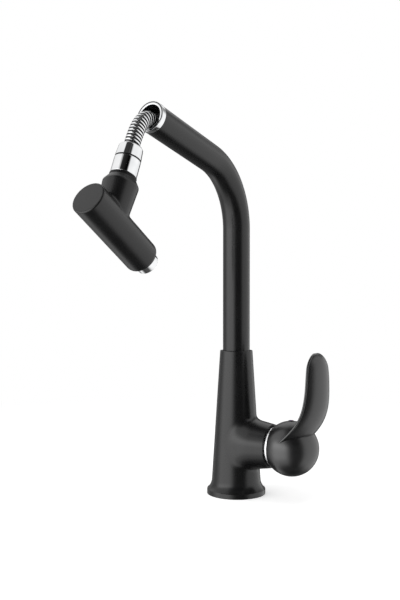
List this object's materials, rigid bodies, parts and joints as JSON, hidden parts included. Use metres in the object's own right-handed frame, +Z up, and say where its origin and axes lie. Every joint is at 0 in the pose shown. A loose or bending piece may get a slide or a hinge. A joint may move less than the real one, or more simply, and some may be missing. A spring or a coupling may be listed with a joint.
{
  "type": "pull out spray kitchen mixer",
  "caption": "Matte black single-lever kitchen mixer: tapered pedestal, swivelling bent spout, chrome ribbed hose with a T-shaped pull-out spray head, ball-hub paddle lever on a side branch.",
  "frame": {"origin": "centre of the foot's underside, where the body stands on the sink deck", "axes": "+Z up along the spout's column, -Y towards the spout's mouth and the spray, +X towards the lever's side branch"},
  "size_m": [0.1335, 0.2745, 0.3822],
  "materials": {
    "black_paint": "matte black coating",
    "black_plastic": "matte moulded plastic",
    "chrome": "polished chrome",
    "seal_rubber": "moulded rubber",
    "bearing_plastic": "low friction plastic",
    "brass": "machined brass",
    "steel": "plain steel",
    "ceramic": "ground ceramic",
    "cartridge_plastic": "moulded cartridge plastic",
    "hose_liner": "braided hose",
    "index_red_blue": "index plug"
  },
  "bodies": {
    "mixer_body": {"body_casting": "black_paint", "foot_seal": "seal_rubber", "thrust_washer": "bearing_plastic", "spout_lock_screw": "steel", "cartridge_base": "cartridge_plastic", "cartridge_seals": "seal_rubber", "fixed_ceramic_disc": "ceramic", "cartridge_housing": "cartridge_plastic", "cartridge_nut": "brass", "trim_ring": "chrome"},
    "spout": {"spout_tube": "black_paint", "spout_spigot": "brass", "lower_bearing_ring": "bearing_plastic", "upper_bearing_ring": "bearing_plastic", "mouth_ring": "chrome", "hose_guide_bush": "black_plastic", "hose_column_run": "hose_liner", "hose_end_sleeve": "brass"},
    "hose": {"spray_hose": "chrome", "hose_ferrule": "chrome", "spacer_ring": "black_plastic", "swivel_clip": "steel"},
    "spray_head": {"swivel_nut": "chrome", "hose_washer": "seal_rubber", "neck_collar": "black_plastic", "spray_shell": "black_plastic", "spray_end_cap": "black_plastic", "check_valve": "bearing_plastic", "aerator_housing": "chrome", "aerator_insert": "bearing_plastic", "aerator_seal": "seal_rubber"},
    "rotor": {"cartridge_rotor": "cartridge_plastic", "stem_pin": "steel"},
    "handle": {"lever": "black_paint", "cartridge_stem": "brass", "lever_set_screw": "steel", "index_plug": "index_red_blue"},
    "moving_disc": {"moving_ceramic_disc": "ceramic"}
  },
  "joints": [
    {"name": "spout_swivel", "type": "hinge", "parent": "mixer_body", "child": "spout", "pos_m": [0, 0, 0.12], "axis": [0, 0, 1], "continuous": true},
    {"name": "spray_pull", "type": "slide", "parent": "spout", "child": "hose", "axis": [0, -0.9707, 0.2402], "range_m": [0, 0.06]},
    {"name": "spray_swivel", "type": "hinge", "parent": "hose", "child": "spray_head", "pos_m": [0, -0.18388, 0.32565], "axis": [0, -0.4011, -0.916], "continuous": true},
    {"name": "lever_turn", "type": "hinge", "parent": "mixer_body", "child": "rotor", "pos_m": [0.0335, 0, 0.0533], "axis": [1, 0, 0], "range_deg": [-45, 45]},
    {"name": "lever_tilt", "type": "hinge", "parent": "rotor", "child": "handle", "pos_m": [0.0335, 0, 0.0533], "axis": [0, 1, 0], "range_deg": [0, 25]},
    {"name": "disc_slide", "type": "slide", "parent": "rotor", "child": "moving_disc", "axis": [0, 0, 1], "range_m": [0, 0.0035]}
  ],
  "couplings": [
    {"joint": "disc_slide", "follows": "lever_tilt", "m_per_rad": 0.00779}
  ]
}
